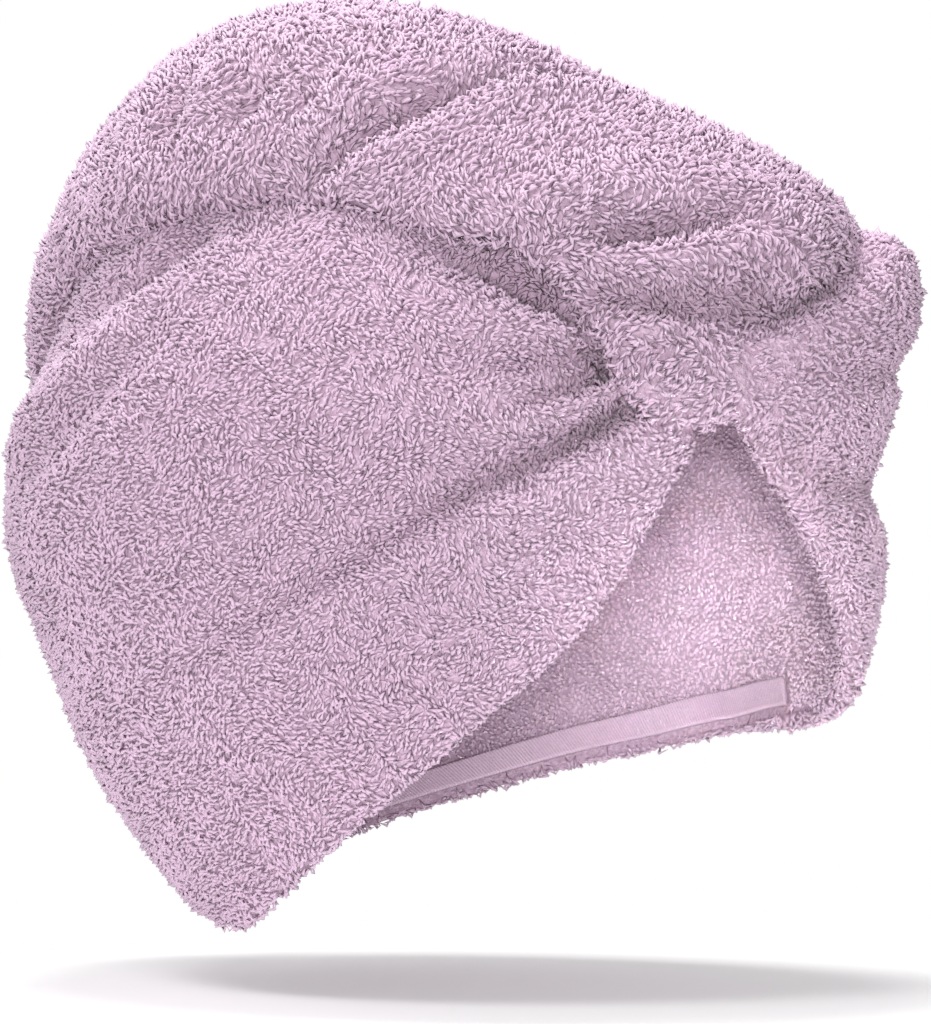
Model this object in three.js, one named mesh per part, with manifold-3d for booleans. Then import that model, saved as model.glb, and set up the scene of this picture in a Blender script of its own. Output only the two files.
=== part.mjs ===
// Hair turban towel, worn: a terry hood of two panels whose long tail is twisted at the
// forehead, laid back over the crown and buttoned at the nape.
// Millimetres, +Z up, the face towards -Y, the wearer's left towards +X.
// The origin is where the crown of the head touches the inside of the hood.
import * as THREE from "three";
import { mergeVertices } from "three/addons/utils/BufferGeometryUtils.js";
import Module from "manifold-3d";

// Room inside the hood, measured from the middle of the head
const headWidth = 196;
const headFront = 108;
const headBack = 118;
const headTop = 101;
const headBelow = 146;

// Cloth, and the clearance between pieces that lie on each other
const cloth = 4;
const borderCloth = 7;
const borderWidth = 27;
const clearance = 0.4;
const seamGap = 0.3;

// Units that the tables of puffs and folds are shares of
const puffHeight = 20;
const foldHeight = 10;
const foldWidth = 10;

// Radius of the gathered place at the forehead that the panels spread from
const knotRadius = 5;

// The rolled tail at its thickest, and how deep its underside beds between the panels
const tailWidth = 112;
const tailHeight = 32;
const tailBed = 4;

// Flat woven band inside the neck edge
const bandHeight = 10;
const bandCloth = 1.4;
const bandInset = 1.5;
const bandGap = 0.7;

// Button that holds the tip of the tail at the nape
const buttonRadius = 11;
const buttonThickness = 4;
const shankRadius = 3.5;
const tipThickness = 7;

// Facets
const panelRows = 36;
const panelColumns = 18;
const tailRings = 46;
const tailSides = 24;
const roundSides = 20;

const degree = Math.PI / 180;
// Millimetres of cloth in one degree round the head
const spread = (headFront + cloth) * degree;

// Direction from the middle of the head: lon turns from the face to the wearer's left, lat rises.
function direction(lon, lat) {
  const a = lon * degree;
  const b = lat * degree;
  return new THREE.Vector3(Math.sin(a) * Math.cos(b), -Math.cos(a) * Math.cos(b), Math.sin(b));
}

// Direction in the middle plane: turn rises from the face over the crown to the nape.
const overhead = (turn) => direction(0, turn);

function smooth(low, high, x) {
  const t = Math.min(1, Math.max(0, (x - low) / (high - low)));
  return t * t * (3 - 2 * t);
}

// A panel is laid out on a flat map of its half of the head: both numbers are degrees from
// the ear, the first towards the face and the second upwards.
const outwards = { right: -1, left: 1 };

function toMap(side, n) {
  const away = Math.acos(Math.min(1, Math.max(-1, outwards[side] * n.x))) / degree;
  const flat = Math.hypot(n.y, n.z) || 1;
  return new THREE.Vector2((-n.y / flat) * away, (n.z / flat) * away);
}

function fromMap(side, place) {
  const away = place.length() * degree;
  const share = Math.sin(away) / Math.max(1e-9, place.length());
  return new THREE.Vector3(outwards[side] * Math.cos(away), -place.x * share, place.y * share);
}

function mapCurve(side, stations) {
  return new THREE.SplineCurve(stations.map(([lon, lat]) => toMap(side, direction(lon, lat))));
}

// Distance from the middle of the head to the bare dome of cloth, an ellipsoid with its own
// reach to the front, back, top and bottom.
function domeRadius(n) {
  const deep = (n.y < 0 ? headFront : headBack) + cloth;
  const tall = (n.z > 0 ? headTop : headBelow) + cloth;
  return 1 / Math.hypot(n.x / (headWidth / 2 + cloth), n.y / deep, n.z / tall);
}

// Where the cloth stands off the head over a broad area: height is a share of puffHeight,
// across and up are the spans in degrees.
const puffs = {
  right: [
    { lon: -130, lat: 5, height: 0.26, across: 26, up: 14 },
    { lon: -120, lat: -26, height: 0.1, across: 26, up: 14 },
    { lon: -98, lat: -50, height: 0.1, across: 16, up: 12 },
  ],
  left: [
    { lon: 58, lat: -12, height: 0.5, across: 42, up: 26 },
  ],
};

// Folds run along a path of directions. heights are shares of foldHeight at the start, middle
// and end, and wide holds the reach above and below the path as shares of foldWidth.
const folds = {
  right: [
    // the doubled border and the crease above it
    { path: [[-4, 15], [-36, 4], [-81, -12]], heights: [0.2, 0.5, 0.1], wide: [0.9, 2.4] },
    { path: [[-7, 17], [-24, 13], [-46, 8]], heights: [-0.9, -0.6, 0], wide: [0.7, 0.7] },
    // gathers that fan out of the knot
    { path: [[-9, 19], [-25, 19], [-46, 18]], heights: [0.4, 0.4, 0], wide: [0.9, 0.8] },
    { path: [[-6, 22], [-20, 22], [-37, 30]], heights: [-0.6, -0.4, 0], wide: [0.6, 0.7] },
    { path: [[-8, 25], [-20, 29], [-36, 38]], heights: [0.3, 0.3, 0], wide: [0.8, 0.8] },
    // pleats that sweep down the back from under the tail
    { path: [[-88, 60], [-120, 54], [-142, 42]], heights: [0.1, 0.3, 0.3], wide: [0.8, 0.8] },
    { path: [[-80, 56], [-100, 48], [-126, 33]], heights: [-0.1, -0.3, -0.2], wide: [0.7, 0.7] },
    { path: [[-80, 50], [-107, 35], [-137, 17]], heights: [0.1, 0.4, 0.3], wide: [0.9, 0.9] },
    { path: [[-78, 44], [-110, 24], [-126, 13]], heights: [0, -0.3, -0.2], wide: [0.8, 0.8] },
  ],
  left: [
    // the arm of cloth that swings round from the knot, and the crease that tucks in below it
    { path: [[3, 17], [24, 18], [48, 21], [80, 10]], heights: [1.15, 3.2, 0.4], wide: [1.6, 3.4] },
    { path: [[4, 9], [22, -2], [52, -10], [80, -16]], heights: [-0.2, -0.5, 0], wide: [1, 0.9] },
  ],
};

// Along and across a path: share is 0 at its start and 1 at its end, over is how far a place
// lies beyond an end, and across is positive to the left of the way it runs.
function alongPath(points, place) {
  let best = null;
  for (let i = 0; i + 1 < points.length; i++) {
    const chord = points[i + 1].clone().sub(points[i]);
    const offset = place.clone().sub(points[i]);
    const free = offset.dot(chord) / chord.lengthSq();
    const held = Math.min(1, Math.max(0, free));
    const away = offset.clone().addScaledVector(chord, -held).length();
    if (best && away >= best.away) continue;
    const ends = (free < 0 && i === 0) || (free > 1 && i + 2 === points.length);
    const side = chord.cross(offset) / chord.length();
    const over = ends ? Math.abs(free - held) * chord.length() : 0;
    const across = ends ? side : Math.sign(side) * away;
    best = { away, share: (i + held) / (points.length - 1), over, across };
  }
  return best;
}

// Height of one fold at a place, both in millimetres of cloth.
function rise({ points, heights, wide }, place) {
  const { share, over, across } = alongPath(points, place);
  const [start, middle, end] = heights;
  const height = share < 0.5 ? start + (middle - start) * share * 2 : middle + (end - middle) * (share * 2 - 1);
  const flank = wide[across > 0 ? 0 : 1] * foldWidth;
  return height * foldHeight * Math.exp(-((across / flank) ** 2) - (over / flank) ** 2);
}

// Folds with their paths drawn on the map in millimetres, the first flank above the path.
function draw(side, table) {
  return table.map(({ path, heights, wide }) => {
    const points = mapCurve(side, path).getPoints(12).map((p) => p.multiplyScalar(spread));
    const upOnLeft = points[points.length - 1].x > points[0].x;
    return { points, heights, wide: upOnLeft ? wide : [wide[1], wide[0]] };
  });
}
const drawn = { right: draw("right", folds.right), left: draw("left", folds.left) };

// Outer face of a panel in a direction.
function panelRadius(side, n) {
  const lon = Math.atan2(n.x, -n.y) / degree;
  const lat = Math.asin(n.z) / degree;
  let radius = domeRadius(n);
  for (const puff of puffs[side]) {
    const across = ((lon - puff.lon) * Math.cos(lat * degree)) / puff.across;
    const up = (lat - puff.lat) / puff.up;
    radius += puff.height * puffHeight * Math.exp(-across * across - up * up);
  }
  const place = toMap(side, n).multiplyScalar(spread);
  for (const fold of drawn[side]) radius += rise(fold, place);
  return radius;
}

// The lower edge of each panel runs from the knot round the face to the front corner, and on
// along the neck to the nape. The upper edge runs from the knot over the crown to the nape.
const panels = {
  right: {
    front: [[-5, 11], [-22, -6], [-40, -19], [-61, -32], [-80, -42], [-98, -48.5]],
    neck: [[-98, -48.5], [-106, -49], [-121, -49], [-138, -50], [-154, -50], [-168, -50], [180, -51]],
  },
  left: {
    front: [[1, 12], [10, 0], [17, -11], [28, -25], [46, -37], [66, -43]],
    neck: [[66, -43], [85, -46], [103, -48.5], [121, -49.5], [138, -50], [154, -50], [168, -50], [180, -51]],
  },
};
const seamStart = 26;
const seamEnd = 222;

// Degrees on the map from the ear to the middle of the head, less half the seam.
const seamAway = 90 - seamGap / 2 / spread;

function layOut(side) {
  const { front, neck } = panels[side];
  const edges = { front: mapCurve(side, front), neck: mapCurve(side, neck) };
  const lengths = { front: edges.front.getLength(), neck: edges.neck.getLength() };
  return { ...edges, corner: lengths.front / (lengths.front + lengths.neck) };
}
const layout = { right: layOut("right"), left: layOut("left") };

function lowerEdge(side, u) {
  const { front, neck, corner } = layout[side];
  const place = u < corner ? front.getPointAt(u / corner) : neck.getPointAt((u - corner) / (1 - corner));
  return place.clampLength(0, seamAway);
}

function upperEdge(u) {
  const turn = (seamStart + (seamEnd - seamStart) * u) * degree;
  return new THREE.Vector2(Math.cos(turn), Math.sin(turn)).multiplyScalar(seamAway);
}

// Place on the map at share u from the knot to the nape and v from the lower edge to the
// upper one. The lines across start curved round the knot.
function panelPlace(side, u, v) {
  const round = (knotRadius / spread) * Math.sin(Math.PI * v) * (1 - smooth(0, 0.15, u));
  const place = lowerEdge(side, u).lerp(upperEdge(u), v);
  return place.setX(place.x - round);
}

function panelPoint(side, u, v, height) {
  const n = fromMap(side, panelPlace(side, u, v));
  return n.clone().multiplyScalar(panelRadius(side, n) + height);
}

function acrossLength(side, u) {
  return lowerEdge(side, u).distanceTo(upperEdge(u)) * spread;
}

// The border along the face is doubled, and thins out past the front corner.
function clothAt(side, u, v) {
  const { corner } = layout[side];
  const inBorder = 1 - smooth(0.8 * borderWidth, 1.2 * borderWidth, v * acrossLength(side, u));
  return cloth + (borderCloth - cloth) * inBorder * (1 - smooth(corner, corner + 0.08, u));
}

// Closed mesh from an outer and an inner grid of points.
function shell(outer, inner) {
  const rows = outer.length;
  const columns = outer[0].length;
  const positions = [...outer.flat(), ...inner.flat()].flatMap((p) => p.toArray());
  const at = (layer, i, j) => (layer * rows + i) * columns + j;
  const faces = [];
  const quad = (a, b, c, d) => faces.push(a, b, c, a, c, d);
  for (let i = 0; i + 1 < rows; i++)
    for (let j = 0; j + 1 < columns; j++) {
      quad(at(0, i, j), at(0, i + 1, j), at(0, i + 1, j + 1), at(0, i, j + 1));
      quad(at(1, i, j), at(1, i, j + 1), at(1, i + 1, j + 1), at(1, i + 1, j));
    }
  for (let i = 0; i + 1 < rows; i++) {
    const end = columns - 1;
    quad(at(0, i, 0), at(1, i, 0), at(1, i + 1, 0), at(0, i + 1, 0));
    quad(at(0, i + 1, end), at(1, i + 1, end), at(1, i, end), at(0, i, end));
  }
  for (let j = 0; j + 1 < columns; j++) {
    const end = rows - 1;
    quad(at(0, 0, j + 1), at(1, 0, j + 1), at(1, 0, j), at(0, 0, j));
    quad(at(0, end, j), at(1, end, j), at(1, end, j + 1), at(0, end, j + 1));
  }
  return facingOut(positions, faces);
}

// Geometry whose faces point outwards, whichever way they were listed.
function facingOut(positions, faces) {
  const corner = (k) => new THREE.Vector3().fromArray(positions, 3 * faces[k]);
  let volume = 0;
  for (let k = 0; k < faces.length; k += 3) volume += corner(k).dot(corner(k + 1).cross(corner(k + 2)));
  if (volume < 0) for (let k = 0; k < faces.length; k += 3) [faces[k], faces[k + 1]] = [faces[k + 1], faces[k]];
  const geometry = new THREE.BufferGeometry();
  geometry.setAttribute("position", new THREE.Float32BufferAttribute(positions, 3));
  geometry.setIndex(faces);
  return geometry;
}

function grid(rows, columns, point) {
  const across = (i) => Array.from({ length: columns + 1 }, (_, j) => point(i / rows, j / columns));
  return Array.from({ length: rows + 1 }, (_, i) => across(i));
}

// Rows crowd towards the knot, where the folds are close together.
const crowd = (u) => u ** 1.3;

function panelGeometry(side) {
  const outer = grid(panelRows, panelColumns, (u, v) => panelPoint(side, crowd(u), v, 0));
  const inner = grid(panelRows, panelColumns, (u, v) => panelPoint(side, crowd(u), v, -clothAt(side, crowd(u), v)));
  return shell(outer, inner);
}

// The band lies on the inside of a panel, just above its neck edge.
function bandGeometry(side) {
  const first = Math.floor(panelRows * layout[side].corner ** (1 / 1.3));
  const layer = (depth) =>
    grid(panelRows - first, 2, (k, v) => {
      const u = crowd((first + k * (panelRows - first)) / panelRows);
      const share = (bandInset + v * (bandHeight - bandInset)) / acrossLength(side, u);
      return panelPoint(side, u, share, -clothAt(side, u, share) - depth);
    });
  return shell(layer(bandGap), layer(bandGap + bandCloth));
}

// The tail along the middle of the head. turn is the angle over the crown, side is its shift
// to the wearer's left and wide its half width, as shares of half of tailWidth, and high is a
// share of tailHeight.
const tailSections = [
  { turn: 11, side: 0, wide: 0.2, high: 0.22 },
  { turn: 13, side: 0.02, wide: 0.34, high: 0.42 },
  { turn: 16, side: 0.04, wide: 0.42, high: 0.48 },
  { turn: 20, side: 0.04, wide: 0.46, high: 0.52 },
  { turn: 22, side: 0.08, wide: 0.52, high: 0.6 },
  { turn: 24, side: 0.44, wide: 0.88, high: 0.88 },
  { turn: 30, side: 0.66, wide: 1.1, high: 1.04 },
  { turn: 38, side: 0.6, wide: 1.16, high: 0.92 },
  { turn: 50, side: 0.3, wide: 1.06, high: 0.74 },
  { turn: 62, side: 0.08, wide: 0.94, high: 0.68 },
  { turn: 74, side: -0.02, wide: 0.92, high: 0.78 },
  { turn: 86, side: -0.16, wide: 0.96, high: 0.93 },
  { turn: 104, side: -0.22, wide: 0.98, high: 1.08 },
  { turn: 126, side: -0.2, wide: 0.92, high: 0.96 },
  { turn: 150, side: -0.14, wide: 0.8, high: 0.86 },
  { turn: 174, side: -0.04, wide: 0.6, high: 0.7 },
  { turn: 196, side: 0, wide: 0.4, high: 0.48 },
];
const tailEndTurn = 221;
const tailEndWide = 13;

// Folds of the twist run across the tail: paths of turn and of side, heights and reach as for
// the panels.
const tailFolds = [
  {
    path: [[72, -0.9], [68.5, -0.6], [66, -0.3], [63.5, 0.1], [60, 0.5]],
    heights: [-0.4, -1, -0.6],
    wide: [0.5, 0.5],
  },
  { path: [[62, -0.6], [59.5, -0.2], [55, 0.3]], heights: [0.2, 0.45, 0.2], wide: [0.6, 0.9] },
  { path: [[44, -0.8], [42, -0.4], [40, 0.1]], heights: [0.4, 0.5, 0], wide: [1, 1.1] },
  { path: [[36, -0.34], [33.5, -0.1], [31.5, 0.3]], heights: [-0.3, -0.8, -0.5], wide: [0.45, 0.45] },
  { path: [[101, -0.55], [99, -0.85], [98.5, -1.05]], heights: [0, -0.5, -0.1], wide: [0.6, 0.6] },
  { path: [[83, -0.4], [87, -0.75], [87, -1]], heights: [0, -0.5, -0.1], wide: [0.6, 0.6] },
];

const drawnTail = tailFolds.map(({ path, heights, wide }) => {
  const places = path.map(([turn, side]) => new THREE.Vector2(turn * spread, (side * tailWidth) / 2));
  return { points: new THREE.SplineCurve(places).getPoints(12), heights, wide };
});

// Section of the tail at a share of its length, through the rows of the table.
function tailSection(share) {
  const last = tailSections[tailSections.length - 1];
  const tip = { turn: tailEndTurn, side: 0, wide: (2 * tailEndWide) / tailWidth, high: (tipThickness + tailBed) / tailHeight };
  const rows = [...tailSections, { ...tip, turn: (tailEndTurn + last.turn) / 2 }, tip];
  const k = share * (rows.length - 1);
  const i = Math.min(rows.length - 2, Math.floor(k));
  const f = k - i;
  const [a, b, c, d] = [i - 1, i, i + 1, i + 2].map((m) => rows[Math.min(rows.length - 1, Math.max(0, m))]);
  const mix = (key) =>
    b[key] +
    0.5 * f * (c[key] - a[key] + f * (2 * a[key] - 5 * b[key] + 4 * c[key] - d[key] + f * (3 * (b[key] - c[key]) + d[key] - a[key])));
  const half = tailWidth / 2;
  return { turn: mix("turn"), side: mix("side") * half, wide: mix("wide") * half, high: mix("high") * tailHeight };
}

function tailPoint(share, around) {
  const { turn, side, wide, high } = tailSection(share);
  const a = around * 2 * Math.PI;
  const up = (1 + Math.sin(a)) / 2;
  const across = side + wide * Math.cos(a);
  const place = new THREE.Vector2(turn * spread, across);
  let height = high * up ** 1.4 - tailBed;
  for (const fold of drawnTail) height += rise(fold, place) * smooth(0, 0.4, up);
  const middle = overhead(turn);
  const swing = across / (domeRadius(middle) + height);
  const n = middle.multiplyScalar(Math.cos(swing)).add(new THREE.Vector3(Math.sin(swing), 0, 0));
  return n.clone().multiplyScalar(domeRadius(n) + height);
}

function tailGeometry() {
  const positions = [];
  const faces = [];
  for (let i = 0; i <= tailRings; i++)
    for (let j = 0; j < tailSides; j++) positions.push(...tailPoint(i / tailRings, j / tailSides).toArray());
  for (let i = 0; i < tailRings; i++)
    for (let j = 0; j < tailSides; j++) {
      const k = (j + 1) % tailSides;
      const [near, far] = [i * tailSides, (i + 1) * tailSides];
      faces.push(near + j, far + j, far + k, near + j, far + k, near + k);
    }
  for (let j = 1; j + 1 < tailSides; j++) {
    const last = tailRings * tailSides;
    faces.push(0, j, j + 1, last, last + j + 1, last + j);
  }
  return facingOut(positions, faces);
}

const solids = await Module();
solids.setup();

function toSolid(geometry) {
  geometry.deleteAttribute("normal");
  geometry.deleteAttribute("uv");
  const merged = mergeVertices(geometry, 1e-3);
  const vertProperties = merged.attributes.position.array;
  const triVerts = new Uint32Array(merged.index.array);
  return new solids.Manifold(new solids.Mesh({ numProp: 3, vertProperties, triVerts }));
}

function fromSolid(solid) {
  const mesh = solid.getMesh();
  const geometry = new THREE.BufferGeometry();
  geometry.setAttribute("position", new THREE.Float32BufferAttribute(mesh.vertProperties, 3));
  geometry.setIndex(Array.from(mesh.triVerts));
  return geometry;
}

// All that a piece on the outside of the hood must stay clear of: both panels grown by the
// clearance and filled inwards, and the strip where they meet.
const coreDepth = headTop / 2;

function underPanel(side) {
  const level = (height) => grid(panelRows, panelColumns, (u, v) => panelPoint(side, crowd(u), v, height));
  return toSolid(shell(level(clearance), level(-coreDepth)));
}

function underSeam() {
  const level = (height) =>
    grid(panelRows, 1, (u, v) => panelPoint("left", u, 1, height).setX((v - 0.5) * 4 * seamGap));
  return toSolid(shell(level(clearance), level(-coreDepth)));
}

const core = underPanel("right").add(underPanel("left")).add(underSeam());

// Round bar that stands on the hood at the nape, from one height above it to another.
const buttonTurn = 212;

function napeBar(radius, low, high) {
  const axis = overhead(buttonTurn);
  const geometry = new THREE.CylinderGeometry(radius, radius, high - low, roundSides);
  geometry.rotateX(Math.PI / 2);
  geometry.lookAt(axis);
  const middle = panelRadius("left", axis) + (low + high) / 2;
  geometry.translate(axis.x * middle, axis.y * middle, axis.z * middle);
  return toSolid(geometry);
}

const discLow = tipThickness + 2 * clearance;
const button = napeBar(shankRadius, -cloth, discLow + buttonThickness / 2)
  .add(napeBar(buttonRadius, discLow, discLow + buttonThickness))
  .subtract(core);

const tail = toSolid(tailGeometry())
  .subtract(core)
  .subtract(napeBar(shankRadius + clearance, -cloth, discLow))
  .subtract(napeBar(buttonRadius + clearance, discLow - clearance, discLow + tailHeight));

const terry = new THREE.MeshStandardMaterial({ color: 0xc9abc4, roughness: 0.95, metalness: 0 });
const wovenBand = new THREE.MeshStandardMaterial({ color: 0xd4b5cd, roughness: 0.95, metalness: 0 });
const plastic = new THREE.MeshStandardMaterial({ color: 0xc3a2bd, roughness: 0.4, metalness: 0 });

const turban = new THREE.Group();
turban.name = "hair_turban_towel";

function add(name, geometry, material) {
  const mesh = new THREE.Mesh(geometry, material.clone());
  mesh.name = name;
  mesh.position.z = -headTop;
  turban.add(mesh);
}

add("hood_right", panelGeometry("right"), terry);
add("hood_left", panelGeometry("left"), terry);
add("hem_band_right", bandGeometry("right"), wovenBand);
add("hem_band_left", bandGeometry("left"), wovenBand);
add("tail", fromSolid(tail), terry);
add("nape_button", fromSolid(button), plastic);

export default turban;
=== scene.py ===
"""A terry hair turban towel, worn: two hood panels, the twisted tail over the crown, hem and button."""
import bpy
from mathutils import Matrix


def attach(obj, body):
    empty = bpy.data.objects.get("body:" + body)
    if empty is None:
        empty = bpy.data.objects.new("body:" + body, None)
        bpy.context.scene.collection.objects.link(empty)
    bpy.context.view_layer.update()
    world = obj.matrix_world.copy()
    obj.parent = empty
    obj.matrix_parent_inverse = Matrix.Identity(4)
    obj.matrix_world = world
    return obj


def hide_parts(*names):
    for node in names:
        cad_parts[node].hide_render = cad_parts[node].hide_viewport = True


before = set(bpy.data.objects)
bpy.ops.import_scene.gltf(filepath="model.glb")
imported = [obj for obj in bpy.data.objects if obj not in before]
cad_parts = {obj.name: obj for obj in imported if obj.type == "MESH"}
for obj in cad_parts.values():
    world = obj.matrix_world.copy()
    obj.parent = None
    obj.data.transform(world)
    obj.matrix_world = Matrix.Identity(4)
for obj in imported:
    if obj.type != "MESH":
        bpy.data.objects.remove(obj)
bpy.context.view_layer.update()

from types import SimpleNamespace

import bpy
import numpy as np
from mathutils import Matrix, Vector


# The view
# The turban is seen from the wearer's right front, from a little above, with a long lens.
# The head leans in the picture, so the camera is rolled against it.
HEAD_TOP = 0.101                # from the middle of the head up to the crown, the frame's origin
VIEW_ROUND, VIEW_ABOVE, VIEW_ROLL = np.radians([40, 10, -10])
VIEW_DISTANCE = 1.1
PICTURE = (931, 1024)
HEAD_PIXEL = (440, 500)         # where the middle of the head lies in the picture
PIXELS_PER_METRE = 3800         # at the middle of the head
SENSOR = 36

head_middle = np.array([0, 0, -HEAD_TOP])
view_back = np.array([-np.sin(VIEW_ROUND) * np.cos(VIEW_ABOVE),
                      -np.cos(VIEW_ROUND) * np.cos(VIEW_ABOVE), np.sin(VIEW_ABOVE)])
level_right = np.array([np.cos(VIEW_ROUND), -np.sin(VIEW_ROUND), 0])
level_up = np.cross(level_right, -view_back)
view_right = level_right * np.cos(VIEW_ROLL) + level_up * np.sin(VIEW_ROLL)
view_up = level_up * np.cos(VIEW_ROLL) - level_right * np.sin(VIEW_ROLL)

camera = bpy.data.objects.new("camera", bpy.data.cameras.new("camera"))
bpy.context.scene.collection.objects.link(camera)
camera.data.sensor_width = SENSOR
camera.data.lens = PIXELS_PER_METRE * VIEW_DISTANCE / max(PICTURE) * SENSOR
camera.data.clip_start, camera.data.clip_end = 0.05, 20
aim = (head_middle + view_right * (PICTURE[0] / 2 - HEAD_PIXEL[0]) / PIXELS_PER_METRE
       - view_up * (PICTURE[1] / 2 - HEAD_PIXEL[1]) / PIXELS_PER_METRE)
turned = Matrix(np.column_stack([view_right, view_up, view_back]).tolist()).to_4x4()
camera.matrix_world = Matrix.Translation(Vector(aim + view_back * VIEW_DISTANCE)) @ turned
bpy.context.scene.camera = camera


# The ground weave of the hood panels
# Each panel is a sheet of terry cloth that goes from the knot at the forehead over the ear to
# the nape. It is doubled into a border round the face, and its ground weave carries loops of
# pile on both faces.
MM = 0.001
HEAD_WIDTH, HEAD_FRONT, HEAD_BACK, HEAD_BELOW = 0.196, 0.108, 0.118, 0.146
CLOTH, BORDER_CLOTH, BORDER_WIDTH = 0.004, 0.007, 0.027
BORDER_FADE = (0.8, 1.2)        # from which to which share of its width the border thins out
BORDER_END = 0.08               # share of the panel over which it ends past the front corner
PILE_DEPTH = 1.2 * MM           # the ground weave lies this far under the outside of the pile
LINING_DEPTH = 0.7              # the same under the lining's pile, as a share of it
PUFF_HEIGHT, FOLD_HEIGHT, FOLD_WIDTH = 0.020, 0.010, 0.010
KNOT_RADIUS = 0.005
SEAM_AWAY = 90                  # degrees from the ear to the middle of the head, where the panels meet
SEAM_TURNS = (26, 222)
SPREAD = (HEAD_FRONT + CLOTH) * np.pi / 180   # cloth in one degree round the head
OUTWARDS = {"right": -1, "left": 1}
# painted shade: loops in hollows of the folds and creases are coloured darker, the darkest at this
# depth
SHADE_DEPTH = 0.009             # hollows this deep keep the darkest pile

PUFFS = {
    "right": [dict(lon=-130, lat=5, height=0.26, across=26, up=14),
              dict(lon=-120, lat=-26, height=0.1, across=26, up=14),
              dict(lon=-98, lat=-50, height=0.1, across=16, up=12)],
    "left": [dict(lon=58, lat=-12, height=0.5, across=42, up=26)],
}
FOLDS = {
    "right": [
        dict(path=[(-4, 15), (-36, 4), (-81, -12)], heights=(0.2, 0.5, 0.1), wide=(0.9, 2.4)),
        dict(path=[(-7, 17), (-24, 13), (-46, 8)], heights=(-0.9, -0.6, 0), wide=(0.7, 0.7)),
        dict(path=[(-9, 19), (-25, 19), (-46, 18)], heights=(0.4, 0.4, 0), wide=(0.9, 0.8)),
        dict(path=[(-6, 22), (-20, 22), (-37, 30)], heights=(-0.6, -0.4, 0), wide=(0.6, 0.7)),
        dict(path=[(-8, 25), (-20, 29), (-36, 38)], heights=(0.3, 0.3, 0), wide=(0.8, 0.8)),
        dict(path=[(-88, 60), (-120, 54), (-142, 42)], heights=(0.1, 0.3, 0.3), wide=(0.8, 0.8)),
        dict(path=[(-80, 56), (-100, 48), (-126, 33)], heights=(-0.1, -0.3, -0.2), wide=(0.7, 0.7)),
        dict(path=[(-80, 50), (-107, 35), (-137, 17)], heights=(0.1, 0.4, 0.3), wide=(0.9, 0.9)),
        dict(path=[(-78, 44), (-110, 24), (-126, 13)], heights=(0, -0.3, -0.2), wide=(0.8, 0.8)),
    ],
    "left": [
        dict(path=[(3, 17), (24, 18), (48, 21), (80, 10)], heights=(1.15, 3.2, 0.4), wide=(1.6, 3.4)),
        dict(path=[(4, 9), (22, -2), (52, -10), (80, -16)], heights=(-0.2, -0.5, 0), wide=(1, 0.9)),
    ],
}
CREASES = {
    "right": [
        dict(path=[(-34, 45), (-23, 39), (-16, 30.5), (-10, 23)],
             heights=(-0.3, -0.9, -0.8), wide=(1, 0.6)),
        dict(path=[(-8, 21.5), (-17, 20.3), (-26, 19.5), (-36, 19)],
             heights=(-0.9, -0.65, 0), wide=(0.38, 0.38)),
        dict(path=[(-7, 16.5), (-18, 14), (-31, 10.5), (-61, -1), (-84, -12)],
             heights=(-0.9, -0.5, -0.2), wide=(0.5, 0.35)),
        dict(path=[(-92, 55), (-109, 48), (-126, 40)], heights=(-0.3, -0.65, -0.2), wide=(0.35, 0.5)),
        dict(path=[(-7, 19), (-16, 17.5), (-30, 15)], heights=(0.3, 0.25, 0), wide=(0.35, 0.35)),
        dict(path=[(-12, 27), (-24, 29), (-44, 33)], heights=(0.35, 0.2, 0), wide=(0.5, 0.5)),
        dict(path=[(-9, 24.5), (-19, 24.5), (-32, 26)], heights=(-0.5, -0.3, 0), wide=(0.3, 0.3)),
        dict(path=[(-30, 24), (-48, 25), (-70, 24)], heights=(0, 0.12, 0), wide=(0.7, 1)),
        dict(path=[(-40, 14), (-66, 10), (-92, 2)], heights=(0, 0.12, 0.04), wide=(0.9, 1.2)),
    ],
    "left": [
        dict(path=[(0, 21), (14, 20.5), (26, 22), (36, 30)],
             heights=(-0.5, -0.8, -0.6), wide=(0.5, 0.4)),
        dict(path=[(6, 14), (26, 10), (50, 7)], heights=(-0.2, -0.4, -0.35), wide=(0.4, 0.5)),
        dict(path=[(6, 6), (24, -3), (44, -7)], heights=(-0.1, -0.1, 0), wide=(0.4, 0.5)),
    ],
}
EDGES = {
    "right": dict(front=[(-5, 11), (-22, -6), (-40, -19), (-61, -32), (-80, -42), (-98, -48.5)],
                  neck=[(-98, -48.5), (-106, -49), (-121, -49), (-138, -50), (-154, -50),
                        (-168, -50), (180, -51)]),
    "left": dict(front=[(1, 12), (10, 0), (17, -11), (28, -25), (46, -37), (66, -43)],
                 neck=[(66, -43), (85, -46), (103, -48.5), (121, -49.5), (138, -50), (154, -50),
                       (168, -50), (180, -51)]),
}


def direction(lon, lat):
    """Unit vector from the middle of the head: lon turns from the face to the wearer's left."""
    a, b = np.radians(lon), np.radians(lat)
    return np.stack([np.sin(a) * np.cos(b), -np.cos(a) * np.cos(b), np.sin(b) + 0 * a], -1)


def smooth(low, high, x):
    """Rises from 0 at low to 1 at high as 3t squared less 2t cubed."""
    t = np.clip((x - low) / (high - low), 0, 1)
    return t * t * (3 - 2 * t)


def unit(x):
    """Vectors of length one the same way."""
    return x / np.maximum(np.linalg.norm(x, axis=-1, keepdims=True), 1e-12)


def to_map(side, n):
    """Place on the flat map of a half of the head, degrees from the ear: to the face and up."""
    away = np.degrees(np.arccos(np.clip(OUTWARDS[side] * n[..., 0], -1, 1)))
    flat = np.maximum(np.hypot(n[..., 1], n[..., 2]), 1e-9)
    return np.stack([-n[..., 1] / flat * away, n[..., 2] / flat * away], -1)


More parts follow.
